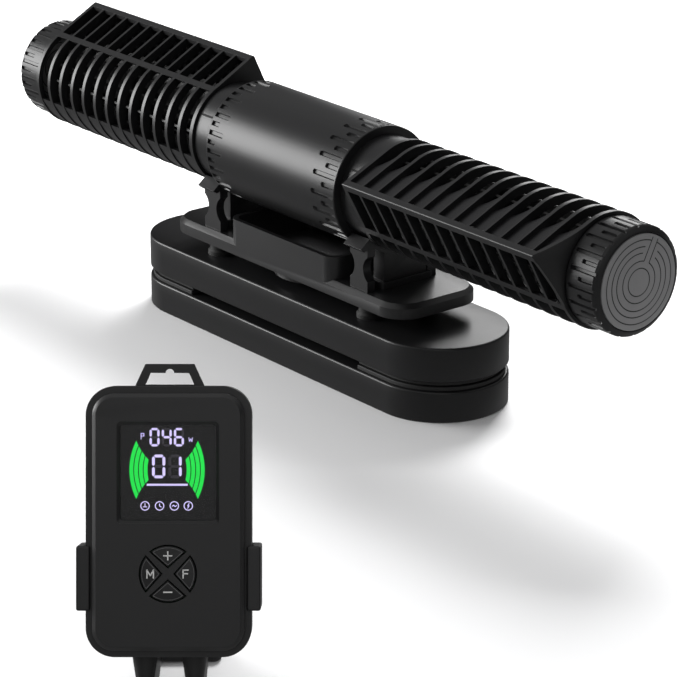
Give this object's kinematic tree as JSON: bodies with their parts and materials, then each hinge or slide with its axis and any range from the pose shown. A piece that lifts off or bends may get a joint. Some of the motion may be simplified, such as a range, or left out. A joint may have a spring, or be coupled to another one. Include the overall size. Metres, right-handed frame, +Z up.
{
  "type": "wave maker pump",
  "caption": "Horizontal cross-flow aquarium wave maker with swivelling slotted outlet cages on a two-part magnet mount, with its push-button controller in a stand.",
  "frame": {"origin": "centre of the outer magnet block's bottom face", "axes": "+X along the pump's shaft, -Y the front, +Z up, away from the face the block lies on"},
  "size_m": [0.5444, 0.3995, 0.1119],
  "materials": {
    "satin_black": "satin black moulded plastic",
    "cage_black": "fine-grained black moulded plastic",
    "bracket_black": "satin black moulded plastic",
    "cap_grey": "mid-grey moulded disc with engraved rings",
    "rubber": "black silicone rubber",
    "magnet": "nickel-coated magnet bars",
    "steel": "laminated core and screws",
    "copper": "enamelled copper windings",
    "ceramic": "ground ceramic",
    "impeller_dark": "dark impeller plastic",
    "shell_black": "satin black controller shell",
    "button_black": "soft black buttons",
    "screen_glass": "dark display window",
    "display": "display panel",
    "board": "circuit board",
    "lead_black": "black cable jacket"
  },
  "bodies": {
    "base": {"outer_magnet_case": "satin_black", "outer_magnet_cover": "satin_black", "outer_magnet_bars": "magnet", "outer_grip_pads": "rubber", "controller_rear_shell": "shell_black", "controller_front_shell": "shell_black", "display_window": "screen_glass", "display_panel": "display", "shell_gasket": "rubber", "circuit_board": "board", "button_switches": "display", "controller_stand": "shell_black", "shell_screws": "steel", "pump_lead_boot": "lead_black", "pump_lead": "lead_black", "pump_connector": "lead_black", "power_lead_boot": "lead_black", "power_lead": "lead_black", "power_socket": "lead_black"},
    "mount_unit": {"inner_magnet_case": "satin_black", "inner_magnet_cover": "satin_black", "inner_magnet_bars": "magnet", "inner_grip_pads": "rubber", "rubber_dampers": "rubber", "bracket_plate": "bracket_black", "left_saddle_clip": "bracket_black", "right_saddle_clip": "bracket_black", "clip_screws": "steel"},
    "motor": {"motor_housing": "satin_black", "left_end_bell": "satin_black", "right_end_bell": "satin_black", "housing_o_rings": "rubber", "ceramic_bushes": "ceramic", "rotor_can": "ceramic", "stator_core": "steel", "stator_coils": "copper", "cable_gland": "bracket_black"},
    "rotor": {"rotor_shaft": "ceramic", "rotor_magnet": "magnet", "left_impeller": "impeller_dark", "right_impeller": "impeller_dark"},
    "left_cage": {"left_cage": "cage_black"},
    "right_cage": {"right_cage": "cage_black"},
    "left_cap": {"left_end_cap": "cage_black", "left_cap_disc": "cap_grey", "left_cap_bush": "ceramic"},
    "right_cap": {"right_end_cap": "cage_black", "right_cap_disc": "cap_grey", "right_cap_bush": "ceramic"},
    "plus_button": {"plus_button": "button_black"},
    "minus_button": {"minus_button": "button_black"},
    "mode_button": {"mode_button": "button_black"},
    "feed_button": {"feed_button": "button_black"}
  },
  "joints": [
    {"name": "glass_gap", "type": "slide", "parent": "base", "child": "mount_unit", "axis": [0, 0, 1], "range_m": [0, 0.015]},
    {"name": "pump_tilt", "type": "hinge", "parent": "mount_unit", "child": "motor", "pos_m": [0, -0.0027, 0.0808], "axis": [1, 0, 0], "range_deg": [-20, 20]},
    {"name": "rotor_spin", "type": "hinge", "parent": "motor", "child": "rotor", "pos_m": [0, -0.0027, 0.0808], "axis": [1, 0, 0], "continuous": true},
    {"name": "left_cage_swivel", "type": "hinge", "parent": "motor", "child": "left_cage", "pos_m": [0, -0.0027, 0.0808], "axis": [1, 0, 0], "continuous": true},
    {"name": "right_cage_swivel", "type": "hinge", "parent": "motor", "child": "right_cage", "pos_m": [0, -0.0027, 0.0808], "axis": [1, 0, 0], "continuous": true},
    {"name": "left_cap_twist", "type": "hinge", "parent": "left_cage", "child": "left_cap", "pos_m": [0, -0.0027, 0.0808], "axis": [1, 0, 0], "range_deg": [0, 25]},
    {"name": "right_cap_twist", "type": "hinge", "parent": "right_cage", "child": "right_cap", "pos_m": [0, -0.0027, 0.0808], "axis": [-1, 0, 0], "range_deg": [0, 25]},
    {"name": "plus_press", "type": "slide", "parent": "base", "child": "plus_button", "axis": [-0.734, 0.5839, -0.3469], "range_m": [0, 0.0006], "stiffness_N_per_m": 1500},
    {"name": "minus_press", "type": "slide", "parent": "base", "child": "minus_button", "axis": [-0.734, 0.5839, -0.3469], "range_m": [0, 0.0006], "stiffness_N_per_m": 1500},
    {"name": "mode_press", "type": "slide", "parent": "base", "child": "mode_button", "axis": [-0.734, 0.5839, -0.3469], "range_m": [0, 0.0006], "stiffness_N_per_m": 1500},
    {"name": "feed_press", "type": "slide", "parent": "base", "child": "feed_button", "axis": [-0.734, 0.5839, -0.3469], "range_m": [0, 0.0006], "stiffness_N_per_m": 1500}
  ]
}
